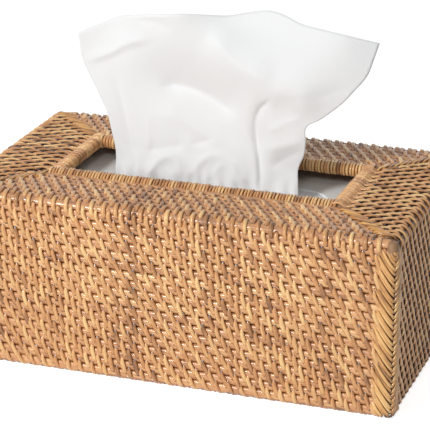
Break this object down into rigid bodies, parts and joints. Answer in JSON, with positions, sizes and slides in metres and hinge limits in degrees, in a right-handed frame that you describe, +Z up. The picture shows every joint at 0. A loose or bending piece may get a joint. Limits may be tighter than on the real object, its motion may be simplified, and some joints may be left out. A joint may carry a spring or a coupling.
{
  "type": "tissue box cover",
  "caption": "Rectangular woven rattan tissue box cover with mitred top, wrapped rectangular opening and open base, over a carton with a white tissue standing through it.",
  "frame": {"origin": "centre of the base, on the surface that the cover stands on", "axes": "+Z up, +X along the long side, -Y towards the front"},
  "size_m": [0.254, 0.152, 0.195],
  "materials": {
    "stake_rattan": "satin honey-brown rattan core strand",
    "weaver_rattan": "satin brown rattan core strand",
    "lashing_rattan": "satin braided rattan strand",
    "peel_rattan": "glossy rattan peel",
    "rod_rattan": "smooth rattan rod",
    "brad_steel": "plain steel wire brad",
    "carton_board": "white coated board",
    "slot_film": "thin clear-white film",
    "tissue_stack": "soft white tissue, folded",
    "tissue": "soft white tissue"
  },
  "bodies": {
    "refill": {"carton": "carton_board", "slot_film_back": "slot_film", "slot_film_front": "slot_film", "tissue_stack": "tissue_stack"},
    "cover": {"back_stakes": "stake_rattan", "back_weavers": "weaver_rattan", "bottom_rod_back": "rod_rattan", "bottom_rod_front": "rod_rattan", "bottom_rod_left": "rod_rattan", "bottom_rod_right": "rod_rattan", "corner_lashing_back_left": "lashing_rattan", "corner_lashing_back_right": "lashing_rattan", "corner_lashing_front_left": "lashing_rattan", "corner_lashing_front_right": "lashing_rattan", "corner_post_back_left": "rod_rattan", "corner_post_back_right": "rod_rattan", "corner_post_front_left": "rod_rattan", "corner_post_front_right": "rod_rattan", "frame_brads": "brad_steel", "front_stakes": "stake_rattan", "front_weavers": "weaver_rattan", "hip_brace_back_left": "rod_rattan", "hip_brace_back_right": "rod_rattan", "hip_brace_front_left": "rod_rattan", "hip_brace_front_right": "rod_rattan", "left_stakes": "stake_rattan", "left_weavers": "weaver_rattan", "mitre_binding_back_left": "peel_rattan", "mitre_binding_back_right": "peel_rattan", "mitre_binding_front_left": "peel_rattan", "mitre_binding_front_right": "peel_rattan", "opening_binding_back": "peel_rattan", "opening_binding_front": "peel_rattan", "opening_binding_left": "peel_rattan", "opening_binding_right": "peel_rattan", "opening_rod_back": "rod_rattan", "opening_rod_front": "rod_rattan", "opening_rod_left": "rod_rattan", "opening_rod_right": "rod_rattan", "right_stakes": "stake_rattan", "right_weavers": "weaver_rattan", "top_back_weavers": "weaver_rattan", "top_front_weavers": "weaver_rattan", "top_left_weavers": "weaver_rattan", "top_right_weavers": "weaver_rattan", "top_rod_back": "rod_rattan", "top_rod_front": "rod_rattan", "top_rod_left": "rod_rattan", "top_rod_right": "rod_rattan"},
    "tissue": {"tissue": "tissue"}
  },
  "joints": [
    {"name": "cover_lift", "type": "slide", "parent": "refill", "child": "cover", "axis": [0, 0, 1], "range_m": [0, 0.2], "deforming": ["tissue"]},
    {"name": "tissue_pull", "type": "slide", "parent": "refill", "child": "tissue", "axis": [0, 0, 1], "range_m": [0, 0.06]}
  ]
}
